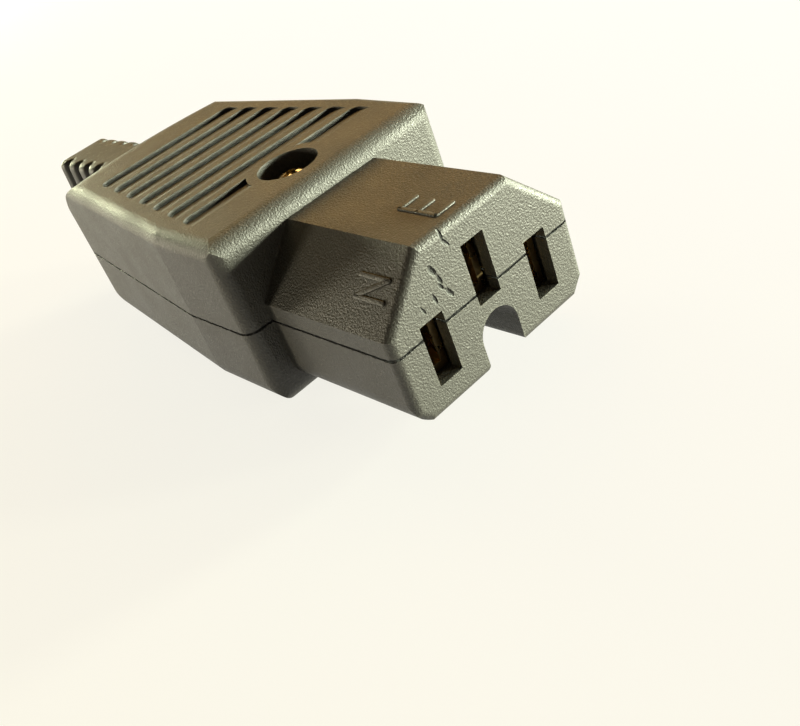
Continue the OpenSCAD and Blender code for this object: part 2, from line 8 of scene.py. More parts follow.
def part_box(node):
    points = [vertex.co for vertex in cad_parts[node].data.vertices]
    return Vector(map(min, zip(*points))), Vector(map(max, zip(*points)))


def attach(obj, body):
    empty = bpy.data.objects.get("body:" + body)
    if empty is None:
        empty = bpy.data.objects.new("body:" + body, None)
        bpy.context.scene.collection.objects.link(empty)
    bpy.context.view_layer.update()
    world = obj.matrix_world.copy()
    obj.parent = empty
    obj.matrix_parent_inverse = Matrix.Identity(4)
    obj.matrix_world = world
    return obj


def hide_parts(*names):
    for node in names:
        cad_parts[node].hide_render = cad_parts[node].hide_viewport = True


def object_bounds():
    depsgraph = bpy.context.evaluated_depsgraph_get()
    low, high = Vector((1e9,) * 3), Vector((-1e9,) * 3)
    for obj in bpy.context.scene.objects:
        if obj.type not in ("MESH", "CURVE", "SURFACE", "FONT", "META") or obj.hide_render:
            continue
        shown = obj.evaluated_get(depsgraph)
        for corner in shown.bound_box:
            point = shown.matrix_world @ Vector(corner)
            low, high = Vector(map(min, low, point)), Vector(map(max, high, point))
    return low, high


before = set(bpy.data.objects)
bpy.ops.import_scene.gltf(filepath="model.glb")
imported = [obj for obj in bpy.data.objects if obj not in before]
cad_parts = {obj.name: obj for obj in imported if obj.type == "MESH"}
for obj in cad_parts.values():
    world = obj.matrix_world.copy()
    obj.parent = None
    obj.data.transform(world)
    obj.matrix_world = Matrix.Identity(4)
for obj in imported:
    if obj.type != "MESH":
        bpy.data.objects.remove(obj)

CAD_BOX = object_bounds()
MM = 0.001


# ---------------------------------------------------------------- camera
# A close, hand-held view from above the connector's nose, left of its middle line, with the horizon
# tipped so that the connector points down to the right.
NOSE_LIFT = 1.5 * MM
NOSE_UNDERSIDE = CAD_BOX[0].z + NOSE_LIFT
CAMERA_PLACE = Vector((-49.33 * MM, CAD_BOX[0].y - 62.18 * MM, NOSE_UNDERSIDE + 54.19 * MM))
CAMERA_AZIMUTH = math.radians(-31.0)
CAMERA_DROP = math.radians(32.57)
CAMERA_ROLL = math.radians(-22.18)
LENS = 45.62
LENS_SHIFT = (0.005, 0.003)

forward = Vector((-math.sin(CAMERA_AZIMUTH) * math.cos(CAMERA_DROP),
                  math.cos(CAMERA_AZIMUTH) * math.cos(CAMERA_DROP),
                  -math.sin(CAMERA_DROP)))
level_right = forward.cross(Vector((0, 0, 1))).normalized()
level_up = level_right.cross(forward)
camera_right = level_right * math.cos(CAMERA_ROLL) + level_up * math.sin(CAMERA_ROLL)
camera_up = camera_right.cross(forward)

camera_data = bpy.data.cameras.new("camera")
camera_data.lens = LENS
camera_data.sensor_width = 36
camera_data.clip_start = 0.005
camera_data.clip_end = 20
camera_data.shift_x, camera_data.shift_y = LENS_SHIFT
camera = bpy.data.objects.new("camera", camera_data)
camera.matrix_world = Matrix((
    (camera_right.x, camera_up.x, -forward.x, CAMERA_PLACE.x),
    (camera_right.y, camera_up.y, -forward.y, CAMERA_PLACE.y),
    (camera_right.z, camera_up.z, -forward.z, CAMERA_PLACE.z),
    (0, 0, 0, 1)))
bpy.context.scene.collection.objects.link(camera)
bpy.context.scene.camera = camera
bpy.context.scene.view_settings.view_transform = "Standard"


# ---------------------------------------------------------------- surface and light
# The connector lies on a pale sheet. Low lamps on the right brighten the nose's face, fainter ones on
# the left and behind the sides, and warm lamps above show in the upper faces.
SHEET_COLOUR = (0.90, 0.885, 0.85, 1)
SHEET_HALF = 2.2
SHEET_DROP = 0.02 * MM
BACKDROP_WHITE = (1.0, 1.0, 0.99, 1)
BACKDROP_CREAM = (1.0, 0.96, 0.80, 1)
CREAM_STARTS = 0.10
CREAM_ENDS = -0.16
SHADOW_SHARE = 0.16


def backdrop_colour(nodes, links):
    """White that turns to cream towards the left, from the place on the sheet."""
    place = nodes.new("ShaderNodeNewGeometry")
    split = nodes.new("ShaderNodeSeparateXYZ")
    links.new(place.outputs["Position"], split.inputs[0])
    leftward = nodes.new("ShaderNodeMapRange")
    leftward.inputs["From Min"].default_value = CREAM_STARTS
    leftward.inputs["From Max"].default_value = CREAM_ENDS
    links.new(split.outputs["X"], leftward.inputs["Value"])
    tint = nodes.new("ShaderNodeMix")
    tint.data_type = "RGBA"
    tint.inputs["A"].default_value = BACKDROP_WHITE
    tint.inputs["B"].default_value = BACKDROP_CREAM
    links.new(leftward.outputs[0], tint.inputs["Factor"])
    return tint.outputs["Result"]


def seen_directly(nodes, links):
    """1 for rays from the camera, and for mirror and glass rays."""
    path = nodes.new("ShaderNodeLightPath")
    either = nodes.new("ShaderNodeMath")
    either.operation = "MAXIMUM"
    links.new(path.outputs["Is Camera Ray"], either.inputs[0])
    links.new(path.outputs["Is Glossy Ray"], either.inputs[1])
    every = nodes.new("ShaderNodeMath")
    every.operation = "MAXIMUM"
    links.new(either.outputs[0], every.inputs[0])
    links.new(path.outputs["Is Transmission Ray"], every.inputs[1])
    return every.outputs[0]


sheet_mesh = bpy.data.meshes.new("sheet")
sheet_mesh.from_pydata([(-SHEET_HALF, -SHEET_HALF, 0), (SHEET_HALF, -SHEET_HALF, 0),
                        (SHEET_HALF, SHEET_HALF, 0), (-SHEET_HALF, SHEET_HALF, 0)],
                       [], [(0, 1, 2, 3)])
sheet = bpy.data.objects.new("sheet", sheet_mesh)
bpy.context.scene.collection.objects.link(sheet)
sheet.location.z = CAD_BOX[0].z - SHEET_DROP

pale_sheet = bpy.data.materials.new("pale_sheet")
pale_sheet.use_nodes = True
nodes = pale_sheet.node_tree.nodes
links = pale_sheet.node_tree.links
paper = nodes["Principled BSDF"]
paper.inputs["Base Color"].default_value = SHEET_COLOUR
paper.inputs["Roughness"].default_value = 0.9
paper.inputs["Specular IOR Level"].default_value = 0.1
glow = nodes.new("ShaderNodeEmission")
links.new(backdrop_colour(nodes, links), glow.inputs["Color"])
glow.inputs["Strength"].default_value = 1.0
share = nodes.new("ShaderNodeMath")
share.operation = "MULTIPLY"
share.inputs[1].default_value = 1 - SHADOW_SHARE
links.new(seen_directly(nodes, links), share.inputs[0])
mix = nodes.new("ShaderNodeMixShader")
links.new(share.outputs[0], mix.inputs["Fac"])
links.new(paper.outputs["BSDF"], mix.inputs[1])
links.new(glow.outputs["Emission"], mix.inputs[2])
links.new(mix.outputs["Shader"], nodes["Material Output"].inputs["Surface"])
sheet_mesh.materials.append(pale_sheet)

ROOM_LOW = (0.12, 0.113, 0.10, 1)
ROOM_HIGH = (0.05, 0.040, 0.025, 1)
LOW_ENDS = 0.08
HIGH_STARTS = 0.6

world = bpy.data.worlds.new("room")
bpy.context.scene.world = world
world.use_nodes = True
nodes = world.node_tree.nodes
links = world.node_tree.links
room = nodes["Background"]
direction = nodes.new("ShaderNodeTexCoord")
split = nodes.new("ShaderNodeSeparateXYZ")
height = nodes.new("ShaderNodeValToRGB")
height.color_ramp.elements[0].position = LOW_ENDS
height.color_ramp.elements[0].color = ROOM_LOW
height.color_ramp.elements[1].position = HIGH_STARTS
height.color_ramp.elements[1].color = ROOM_HIGH
links.new(direction.outputs["Generated"], split.inputs[0])
links.new(split.outputs["Z"], height.inputs["Fac"])
links.new(height.outputs["Color"], room.inputs["Color"])
room.inputs["Strength"].default_value = 1.0
backdrop = nodes.new("ShaderNodeBackground")
backdrop.inputs["Color"].default_value = BACKDROP_WHITE
backdrop.inputs["Strength"].default_value = 1.0
path = nodes.new("ShaderNodeLightPath")
mix = nodes.new("ShaderNodeMixShader")
links.new(path.outputs["Is Camera Ray"], mix.inputs["Fac"])
links.new(room.outputs["Background"], mix.inputs[1])
links.new(backdrop.outputs["Background"], mix.inputs[2])
links.new(mix.outputs["Shader"], nodes["World Output"].inputs["Surface"])


LAMP_TARGET = Vector((0, -10, 8))


def soft_panel(name, place, size, power, colour):
    """One square area lamp that faces the connector; place and size in millimetres, power in watts."""
    lamp = bpy.data.lights.new(name, "AREA")
    lamp.shape = "SQUARE"
    lamp.size = size * MM
    lamp.energy = power
    lamp.color = colour
    panel = bpy.data.objects.new(name, lamp)
    panel.location = Vector(place) * MM
    aim = (LAMP_TARGET - Vector(place)).normalized()
    panel.rotation_euler = aim.to_track_quat("-Z", "Y").to_euler()
    bpy.context.scene.collection.objects.link(panel)


soft_panel("low_front", (320, -420, 38), 70, 7.2, (0.97, 1.0, 0.76))
soft_panel("low_right", (430, -190, 45), 80, 6.8, (0.92, 1.0, 0.76))
soft_panel("low_behind_left", (-250, 420, 45), 85, 0.9, (1.0, 0.92, 0.68))
soft_panel("low_left", (-430, 200, 45), 85, 1.0, (1.0, 0.90, 0.66))
soft_panel("low_behind", (30, 480, 60), 110, 2.2, (0.98, 1.0, 0.66))
soft_panel("warm_behind", (240, 330, 290), 260, 0.75, (1.0, 0.62, 0.22))
soft_panel("warm_right", (400, 100, 300), 220, 0.6, (1.0, 0.5, 0.2))
soft_panel("overhead", (60, 300, 440), 260, 0.25, (1.0, 0.75, 0.35))


# ---------------------------------------------------------------- moulded shells
# Two half shells of black glass-filled nylon from a spark-eroded mould, so every outer face has a fine
# matt grain with tiny glints: glossier grain cells that are also painted lighter, as painted glints.
# The nose's face carries a few small nicks from use.
SHELL_BLACK = (0.032, 0.030, 0.024, 1)
# worn colour of rubbed corners, also used to paint the grain's glint cells lighter as painted glints
SHELL_WORN_AND_GLINT = (0.070, 0.067, 0.056, 1)
SHELL_ROUGHNESS = 0.54
SHELL_SPECULAR = 0.62
GRAIN_CELLS = 4.8
GRAIN_DEPTH = 0.07
RUBBED_RADIUS = 0.5
# share by which glint cells are tinted towards the worn colour: a painted glint
PAINTED_GLINT_SHARE = 0.2
GLINT_GLOSS = 0.08
# painted shade: near black for the hollows of the nicks and of the seam between the shells
SUNK_SHADE_BLACK = (0.004, 0.004, 0.003, 1)
SUNK_ROUGHNESS = 0.95
SUNK_DEPTH = 0.34
NOSE_HEIGHT = 16.0
SEAM_LEVEL = NOSE_UNDERSIDE + NOSE_HEIGHT / 2 * MM
LIP_HALF = 0.30
LIP_FADE = 0.04
LIP_RAGGED = 0.35
NICK_REACH = 0.5
# each nick: across from and above the middle of the nose's underside, length, width, turn in degrees
NICKS = ((-3.05, 15.3, 1.5, 0.34, 84), (-2.8, 14.5, 1.1, 0.30, -55), (-5.18, 13.1, 1.3, 0.55, -62),
         (-4.72, 11.9, 1.1, 0.42, -74), (-4.82, 11.25, 0.9, 0.40, -68), (-4.12, 10.2, 1.2, 0.45, -60),
         (-5.86, 10.6, 1.0, 0.40, -78), (-7.4, 10.4, 0.9, 0.28, -66))


def grain_group():
    """Group: fine pitted grain of a spark-eroded mould, as a height, a glint mask and a blotch mask."""
    group = bpy.data.node_groups.new("spark_grain", "ShaderNodeTree")
    group.interface.new_socket("Cells per mm", in_out="INPUT", socket_type="NodeSocketFloat")
    group.interface.new_socket("Height", in_out="OUTPUT", socket_type="NodeSocketFloat")
    group.interface.new_socket("Glint", in_out="OUTPUT", socket_type="NodeSocketFloat")
    group.interface.new_socket("Blotch", in_out="OUTPUT", socket_type="NodeSocketFloat")
    nodes = group.nodes
    links = group.links
    inlet = nodes.new("NodeGroupInput")
    outlet = nodes.new("NodeGroupOutput")
    place = nodes.new("ShaderNodeTexCoord")
    per_metre = nodes.new("ShaderNodeMath")
    per_metre.operation = "MULTIPLY"
    per_metre.inputs[1].default_value = 1000.0
    links.new(inlet.outputs["Cells per mm"], per_metre.inputs[0])
    pits = nodes.new("ShaderNodeTexNoise")
    pits.inputs["Detail"].default_value = 2.5
    pits.inputs["Roughness"].default_value = 0.62
    links.new(place.outputs["Object"], pits.inputs["Vector"])
    links.new(per_metre.outputs[0], pits.inputs["Scale"])
    crystals = nodes.new("ShaderNodeTexVoronoi")
    links.new(place.outputs["Object"], crystals.inputs["Vector"])
    links.new(per_metre.outputs[0], crystals.inputs["Scale"])
    tone = nodes.new("ShaderNodeSeparateColor")
    links.new(crystals.outputs["Color"], tone.inputs[0])
    sparkle = nodes.new("ShaderNodeMapRange")
    sparkle.inputs["From Min"].default_value = 0.78
    sparkle.inputs["From Max"].default_value = 0.95
    links.new(tone.outputs[0], sparkle.inputs["Value"])
    height = nodes.new("ShaderNodeMath")
    height.operation = "MULTIPLY_ADD"
    height.inputs[1].default_value = 0.45
    links.new(crystals.outputs["Distance"], height.inputs[0])
    links.new(pits.outputs["Fac"], height.inputs[2])
    blotch = nodes.new("ShaderNodeTexNoise")
    blotch.inputs["Scale"].default_value = 160.0
    blotch.inputs["Detail"].default_value = 4.0
    links.new(place.outputs["Object"], blotch.inputs["Vector"])
    links.new(height.outputs[0], outlet.inputs["Height"])
    links.new(sparkle.outputs[0], outlet.inputs["Glint"])
    links.new(blotch.outputs["Fac"], outlet.inputs["Blotch"])
    return group


def rubbed_edge_group():
    """Group: mask of the corners that get rubbed, broken up so that the wear isn't even."""
    group = bpy.data.node_groups.new("rubbed_edges", "ShaderNodeTree")
    group.interface.new_socket("Radius", in_out="INPUT", socket_type="NodeSocketFloat")
    group.interface.new_socket("Mask", in_out="OUTPUT", socket_type="NodeSocketFloat")
    nodes = group.nodes
    links = group.links
    inlet = nodes.new("NodeGroupInput")
    outlet = nodes.new("NodeGroupOutput")
    soft = nodes.new("ShaderNodeBevel")
    soft.samples = 6
    links.new(inlet.outputs["Radius"], soft.inputs["Radius"])
    surface = nodes.new("ShaderNodeNewGeometry")
    likeness = nodes.new("ShaderNodeVectorMath")
    likeness.operation = "DOT_PRODUCT"
    links.new(soft.outputs["Normal"], likeness.inputs[0])
    links.new(surface.outputs["Normal"], likeness.inputs[1])
    edge = nodes.new("ShaderNodeMapRange")
    edge.inputs["From Min"].default_value = 0.995
    edge.inputs["From Max"].default_value = 0.90
    links.new(likeness.outputs["Value"], edge.inputs["Value"])
    place = nodes.new("ShaderNodeTexCoord")
    breaks = nodes.new("ShaderNodeTexNoise")
    breaks.inputs["Scale"].default_value = 900.0
    breaks.inputs["Detail"].default_value = 5.0
    links.new(place.outputs["Object"], breaks.inputs["Vector"])
    patch = nodes.new("ShaderNodeMapRange")
    patch.inputs["From Min"].default_value = 0.42
    patch.inputs["From Max"].default_value = 0.68
    links.new(breaks.outputs["Fac"], patch.inputs["Value"])
    both = nodes.new("ShaderNodeMath")
    both.operation = "MULTIPLY"
    links.new(edge.outputs[0], both.inputs[0])
    links.new(patch.outputs[0], both.inputs[1])
    links.new(both.outputs[0], outlet.inputs["Mask"])
    return group


def nick_group():
    """Group: mask of the nicks in the nose's face, each a ragged oval at its place."""
    group = bpy.data.node_groups.new("face_nicks", "ShaderNodeTree")
    group.interface.new_socket("Mask", in_out="OUTPUT", socket_type="NodeSocketFloat")
    nodes = group.nodes
    links = group.links
    outlet = nodes.new("NodeGroupOutput")
    place = nodes.new("ShaderNodeTexCoord")
    ragged = nodes.new("ShaderNodeTexNoise")
    ragged.inputs["Scale"].default_value = 2600.0
    links.new(place.outputs["Object"], ragged.inputs["Vector"])
    deepest = None
    for across, above, length, width, turn in NICKS:
        oval = nodes.new("ShaderNodeMapping")
        oval.vector_type = "TEXTURE"
        oval.inputs["Location"].default_value = (across * MM, CAD_BOX[0].y,
                                                 NOSE_UNDERSIDE + above * MM)
        oval.inputs["Rotation"].default_value = (0, -math.radians(turn), 0)
        oval.inputs["Scale"].default_value = (length / 2 * MM, NICK_REACH * MM, width / 2 * MM)
        links.new(place.outputs["Object"], oval.inputs["Vector"])
        reach = nodes.new("ShaderNodeVectorMath")
        reach.operation = "LENGTH"
        links.new(oval.outputs["Vector"], reach.inputs[0])
        torn = nodes.new("ShaderNodeMath")
        torn.operation = "ADD"
        links.new(reach.outputs["Value"], torn.inputs[0])
        links.new(ragged.outputs["Fac"], torn.inputs[1])
        hollow = nodes.new("ShaderNodeMapRange")
        hollow.inputs["From Min"].default_value = 1.7
        hollow.inputs["From Max"].default_value = 0.9
        links.new(torn.outputs[0], hollow.inputs["Value"])
        if deepest is not None:
            most = nodes.new("ShaderNodeMath")
            most.operation = "MAXIMUM"
            links.new(deepest, most.inputs[0])
            links.new(hollow.outputs[0], most.inputs[1])
            deepest = most.outputs[0]
        else:
            deepest = hollow.outputs[0]
    links.new(deepest, outlet.inputs["Mask"])
    return group


def parting_group():
    """Group: mask of the rough, slightly rolled edge where the two half shells meet."""
    group = bpy.data.node_groups.new("parting_edge", "ShaderNodeTree")
    group.interface.new_socket("Level", in_out="INPUT", socket_type="NodeSocketFloat")
    group.interface.new_socket("Mask", in_out="OUTPUT", socket_type="NodeSocketFloat")
    nodes = group.nodes
    links = group.links
    inlet = nodes.new("NodeGroupInput")
    outlet = nodes.new("NodeGroupOutput")
    place = nodes.new("ShaderNodeTexCoord")
    split = nodes.new("ShaderNodeSeparateXYZ")
    links.new(place.outputs["Object"], split.inputs[0])
    above = nodes.new("ShaderNodeMath")
    above.operation = "SUBTRACT"
    links.new(split.outputs["Z"], above.inputs[0])
    links.new(inlet.outputs["Level"], above.inputs[1])
    away = nodes.new("ShaderNodeMath")
    away.operation = "ABSOLUTE"
    links.new(above.outputs[0], away.inputs[0])
    ragged = nodes.new("ShaderNodeTexNoise")
    ragged.inputs["Scale"].default_value = 1400.0
    ragged.inputs["Detail"].default_value = 3.0
    links.new(place.outputs["Object"], ragged.inputs["Vector"])
    reach = nodes.new("ShaderNodeMath")
    reach.operation = "MULTIPLY_ADD"
    reach.inputs[1].default_value = LIP_RAGGED * MM
    links.new(ragged.outputs["Fac"], reach.inputs[0])
    links.new(away.outputs[0], reach.inputs[2])
    lip = nodes.new("ShaderNodeMapRange")
    lip.inputs["From Min"].default_value = (LIP_HALF + LIP_FADE) * MM
    lip.inputs["From Max"].default_value = (LIP_HALF - LIP_FADE) * MM
    links.new(reach.outputs[0], lip.inputs["Value"])
    links.new(lip.outputs[0], outlet.inputs["Mask"])
    return group


SPARK_GRAIN = grain_group()
RUBBED_EDGES = rubbed_edge_group()
FACE_NICKS = nick_group()
PARTING_EDGE = parting_group()


def moulded_plastic(name, colour, worn_and_glint, rough, cells, depth, specular):
    """Moulded plastic: grain in bump and roughness, glints made glossier and painted lighter, faint
    blotches and rubbed corners.
    """
    material = bpy.data.materials.new(name)
    material.use_nodes = True
    nodes = material.node_tree.nodes
    links = material.node_tree.links
    plastic = nodes["Principled BSDF"]
    grain = nodes.new("ShaderNodeGroup")
    grain.node_tree = SPARK_GRAIN
    grain.inputs["Cells per mm"].default_value = cells
    rubbed = nodes.new("ShaderNodeGroup")
    rubbed.node_tree = RUBBED_EDGES
    rubbed.inputs["Radius"].default_value = RUBBED_RADIUS * MM
    # rubbed corners get the worn colour as wear; glint cells get a share of it as painted glints
    wear_and_glint = nodes.new("ShaderNodeMath")
    wear_and_glint.operation = "MULTIPLY_ADD"
    wear_and_glint.inputs[1].default_value = PAINTED_GLINT_SHARE
    wear_and_glint.use_clamp = True
    links.new(grain.outputs["Glint"], wear_and_glint.inputs[0])
    links.new(rubbed.outputs["Mask"], wear_and_glint.inputs[2])
    tint = nodes.new("ShaderNodeMix")
    tint.name = "wear and glint tint"
    tint.data_type = "RGBA"
    tint.inputs["A"].default_value = colour
    tint.inputs["B"].default_value = worn_and_glint
    links.new(wear_and_glint.outputs[0], tint.inputs["Factor"])
    links.new(tint.outputs["Result"], plastic.inputs["Base Color"])
    matt = nodes.new("ShaderNodeMapRange")
    matt.inputs["From Min"].default_value = 0.3
    matt.inputs["From Max"].default_value = 0.7
    matt.inputs["To Min"].default_value = rough - 0.05
    matt.inputs["To Max"].default_value = rough + 0.06
    links.new(grain.outputs["Blotch"], matt.inputs["Value"])
    smoother = nodes.new("ShaderNodeMath")
    smoother.name = "glint gloss"
    smoother.operation = "MULTIPLY_ADD"
    smoother.inputs[1].default_value = -GLINT_GLOSS
    links.new(grain.outputs["Glint"], smoother.inputs[0])
    links.new(matt.outputs[0], smoother.inputs[2])
    links.new(smoother.outputs[0], plastic.inputs["Roughness"])
    relief = nodes.new("ShaderNodeBump")
    relief.name = "grain relief"
    relief.inputs["Strength"].default_value = 1.0
    relief.inputs["Distance"].default_value = depth * MM
    links.new(grain.outputs["Height"], relief.inputs["Height"])
    links.new(relief.outputs["Normal"], plastic.inputs["Normal"])
    plastic.inputs["Specular IOR Level"].default_value = specular
    return material


def add_nicks_and_parting_edge(material):
    """Sinks the nicks and the parting edge into the plastic: near black as painted shade in their
    hollows, dull and below the surface.
    """
    nodes = material.node_tree.nodes
    links = material.node_tree.links
    plastic = nodes["Principled BSDF"]
    nicks = nodes.new("ShaderNodeGroup")
    nicks.node_tree = FACE_NICKS
    parting = nodes.new("ShaderNodeGroup")
    parting.node_tree = PARTING_EDGE
    parting.inputs["Level"].default_value = SEAM_LEVEL
    sunk = nodes.new("ShaderNodeMath")
    sunk.operation = "MAXIMUM"
    links.new(nicks.outputs["Mask"], sunk.inputs[0])
    links.new(parting.outputs["Mask"], sunk.inputs[1])
    # painted shade: the nicks and the seam are coloured near black, darker than the plastic itself
    hollow_shade = nodes.new("ShaderNodeMix")
    hollow_shade.data_type = "RGBA"
    hollow_shade.inputs["B"].default_value = SUNK_SHADE_BLACK
    links.new(sunk.outputs[0], hollow_shade.inputs["Factor"])
    links.new(nodes["wear and glint tint"].outputs["Result"], hollow_shade.inputs["A"])
    links.new(hollow_shade.outputs["Result"], plastic.inputs["Base Color"])
    dull = nodes.new("ShaderNodeMix")
    dull.inputs["B"].default_value = SUNK_ROUGHNESS
    links.new(sunk.outputs[0], dull.inputs["Factor"])
    links.new(nodes["glint gloss"].outputs[0], dull.inputs["A"])
    links.new(dull.outputs["Result"], plastic.inputs["Roughness"])
    gouge = nodes.new("ShaderNodeBump")
    gouge.invert = True
    gouge.inputs["Distance"].default_value = SUNK_DEPTH * MM
    links.new(sunk.outputs[0], gouge.inputs["Height"])
    links.new(nodes["grain relief"].outputs["Normal"], gouge.inputs["Normal"])
    links.new(gouge.outputs["Normal"], plastic.inputs["Normal"])


def dress(node, material):
    """Gives a CAD node its finish."""
    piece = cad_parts[node]
    piece.data.materials.clear()
    piece.data.materials.append(material)


shell_plastic = moulded_plastic("shell_plastic", SHELL_BLACK, SHELL_WORN_AND_GLINT, SHELL_ROUGHNESS,
                                GRAIN_CELLS, GRAIN_DEPTH, SHELL_SPECULAR)
add_nicks_and_parting_edge(shell_plastic)
for node in ("upper_shell", "lower_shell"):
    dress(node, shell_plastic)


# ---------------------------------------------------------------- terminal letters
# E, N and L stand on the nose's upper faces, raised by the mould: plain strokes with round ends.
# They read upright with the nose towards the reader.
LETTER_STROKE = 0.52 * MM
LETTER_RISE = 0.17 * MM
LETTER_FOOT = 1.9
E_HEAD = 6.65
N_HEAD = 5.6
L_HEAD = 5.8
E_HALF = 1.4
LETTER_HALF = 1.0
# a stroke's section from its foot to its crown: share drawn in towards its middle, share of its rise
STROKE_SECTION = ((0.0, -0.3), (0.0, 0.5), (0.14, 0.85), (0.4, 1.0))
ROUND_END_STEPS = 8
# middle of each 45 degree face of the nose, to the side and above its underside
NOSE_CUT_MIDDLE = 9 * MM
NOSE_CUT_LEVEL = NOSE_UNDERSIDE + 13 * MM
nose_face = CAD_BOX[0].y
slope = math.sqrt(0.5)


def raised_stroke(cells, start, end, up):
    """Adds one raised stroke with round ends and a crowned top."""
    length = (end - start).length
    along = (end - start) / length
    side = up.cross(along)
    outline = []
    for base, first in ((end, -90), (start, 90)):
        for step in range(ROUND_END_STEPS + 1):
            turn = math.radians(first + 180 * step / ROUND_END_STEPS)
            outline.append(base + (along * math.cos(turn) + side * math.sin(turn)) * LETTER_STROKE / 2)
    rings = []
    for inset, height in STROKE_SECTION:
        ring = []
        for point in outline:
            nearest = start + along * min(length, max(0.0, (point - start).dot(along)))
            rise = up * height * LETTER_RISE
            ring.append(cells.verts.new(point.lerp(nearest, inset) + rise))
        rings.append(ring)
    for low, high in zip(rings, rings[1:]):
        for k in range(len(low)):
            after = (k + 1) % len(low)
            cells.faces.new((low[k], low[after], high[after], high[k]))
    cells.faces.new(rings[-1])
    cells.faces.new(rings[0][::-1])


def raised_letter(name, middle, right, up, strokes):
    """Makes one letter; strokes are pairs of points, in millimetres right of and above its middle."""
    mesh = bpy.data.meshes.new(name)
    cells = bmesh.new()
    back = Vector((0, 1, 0))
    for (u0, v0), (u1, v1) in strokes:
        raised_stroke(cells, middle + (right * u0 + back * v0) * MM,
                      middle + (right * u1 + back * v1) * MM, up)
    bmesh.ops.recalc_face_normals(cells, faces=cells.faces)
    cells.to_mesh(mesh)
    cells.free()
    for face in mesh.polygons:
        face.use_smooth = True
    letter = bpy.data.objects.new(name, mesh)
    bpy.context.scene.collection.objects.link(letter)
    mesh.materials.append(shell_plastic)
    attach(letter, "root")


raised_letter("letter_E", Vector((0, nose_face, NOSE_UNDERSIDE + NOSE_HEIGHT * MM)),
              Vector((1, 0, 0)), Vector((0, 0, 1)),
              [((-E_HALF, LETTER_FOOT), (-E_HALF, E_HEAD)),
               ((-E_HALF, E_HEAD), (0.75, E_HEAD)),
               ((-E_HALF, 4.3), (0.55, 4.3)),
               ((-E_HALF, LETTER_FOOT), (0.75, LETTER_FOOT))])
raised_letter("letter_N", Vector((-NOSE_CUT_MIDDLE, nose_face, NOSE_CUT_LEVEL)),
              Vector((slope, 0, slope)), Vector((-slope, 0, slope)),
              [((-LETTER_HALF, LETTER_FOOT), (-LETTER_HALF, N_HEAD)),
               ((-LETTER_HALF, N_HEAD), (LETTER_HALF, LETTER_FOOT)),
               ((LETTER_HALF, LETTER_FOOT), (LETTER_HALF, N_HEAD))])
raised_letter("letter_L", Vector((NOSE_CUT_MIDDLE, nose_face, NOSE_CUT_LEVEL)),
              Vector((slope, 0, -slope)), Vector((slope, 0, slope)),
              [((-LETTER_HALF, LETTER_FOOT), (-LETTER_HALF, L_HEAD)),
               ((-LETTER_HALF, LETTER_FOOT), (LETTER_HALF, LETTER_FOOT))])


# ---------------------------------------------------------------- housing screw and nut
# An M3 pan head machine screw, nickel plated with a slight yellow cast, sunk in its round recess.
# It clamps the shells together against a brass hexagon nut let into the underside.
PLATED = (0.80, 0.73, 0.56, 1)
BRASS = (0.72, 0.52, 0.24, 1)
STRIP_STEEL = (0.56, 0.56, 0.55, 1)
PLATED_TARNISH = (0.50, 0.38, 0.20, 1)
BRASS_TARNISH = (0.38, 0.24, 0.10, 1)
STEEL_TARNISH = (0.34, 0.33, 0.31, 1)
DRAWING_DEPTH = 0.006


def worked_metal(name, colour, tarnish, rough, brushing):
    """Plated, rolled or pressed metal: fine drawing lines, uneven sheen and a thin tarnish."""
    material = bpy.data.materials.new(name)
    material.use_nodes = True
    nodes = material.node_tree.nodes
    links = material.node_tree.links
    metal = nodes["Principled BSDF"]
    metal.inputs["Metallic"].default_value = 1.0
    place = nodes.new("ShaderNodeTexCoord")
    stretch = nodes.new("ShaderNodeMapping")
    stretch.inputs["Scale"].default_value = brushing
    links.new(place.outputs["Object"], stretch.inputs["Vector"])
    lines = nodes.new("ShaderNodeTexNoise")
    lines.inputs["Scale"].default_value = 1000.0
    lines.inputs["Detail"].default_value = 3.0
    links.new(stretch.outputs["Vector"], lines.inputs["Vector"])
    stain = nodes.new("ShaderNodeTexNoise")
    stain.inputs["Scale"].default_value = 420.0
    stain.inputs["Detail"].default_value = 5.0
    links.new(place.outputs["Object"], stain.inputs["Vector"])
    amount = nodes.new("ShaderNodeMapRange")
    amount.inputs["From Min"].default_value = 0.45
    amount.inputs["From Max"].default_value = 0.75
    amount.inputs["To Max"].default_value = 0.6
    links.new(stain.outputs["Fac"], amount.inputs["Value"])
    tint = nodes.new("ShaderNodeMix")
    tint.data_type = "RGBA"
    tint.inputs["A"].default_value = colour
    tint.inputs["B"].default_value = tarnish
    links.new(amount.outputs[0], tint.inputs["Factor"])
    links.new(tint.outputs["Result"], metal.inputs["Base Color"])
    sheen = nodes.new("ShaderNodeMapRange")
    sheen.inputs["From Min"].default_value = 0.3
    sheen.inputs["From Max"].default_value = 0.7
    sheen.inputs["To Min"].default_value = rough
    sheen.inputs["To Max"].default_value = rough + 0.14
    links.new(stain.outputs["Fac"], sheen.inputs["Value"])
    links.new(sheen.outputs[0], metal.inputs["Roughness"])
    relief = nodes.new("ShaderNodeBump")
    relief.inputs["Strength"].default_value = 0.5
    relief.inputs["Distance"].default_value = DRAWING_DEPTH * MM
    links.new(lines.outputs["Fac"], relief.inputs["Height"])
    links.new(relief.outputs["Normal"], metal.inputs["Normal"])
    return material


plated_steel = worked_metal("plated_steel", PLATED, PLATED_TARNISH, 0.16, (2, 2, 2))
brass = worked_metal("brass", BRASS, BRASS_TARNISH, 0.24, (1, 0.12, 1))
strip_steel = worked_metal("strip_steel", STRIP_STEEL, STEEL_TARNISH, 0.26, (1, 0.1, 1))
dress("housing_screw", plated_steel)
dress("housing_nut", brass)


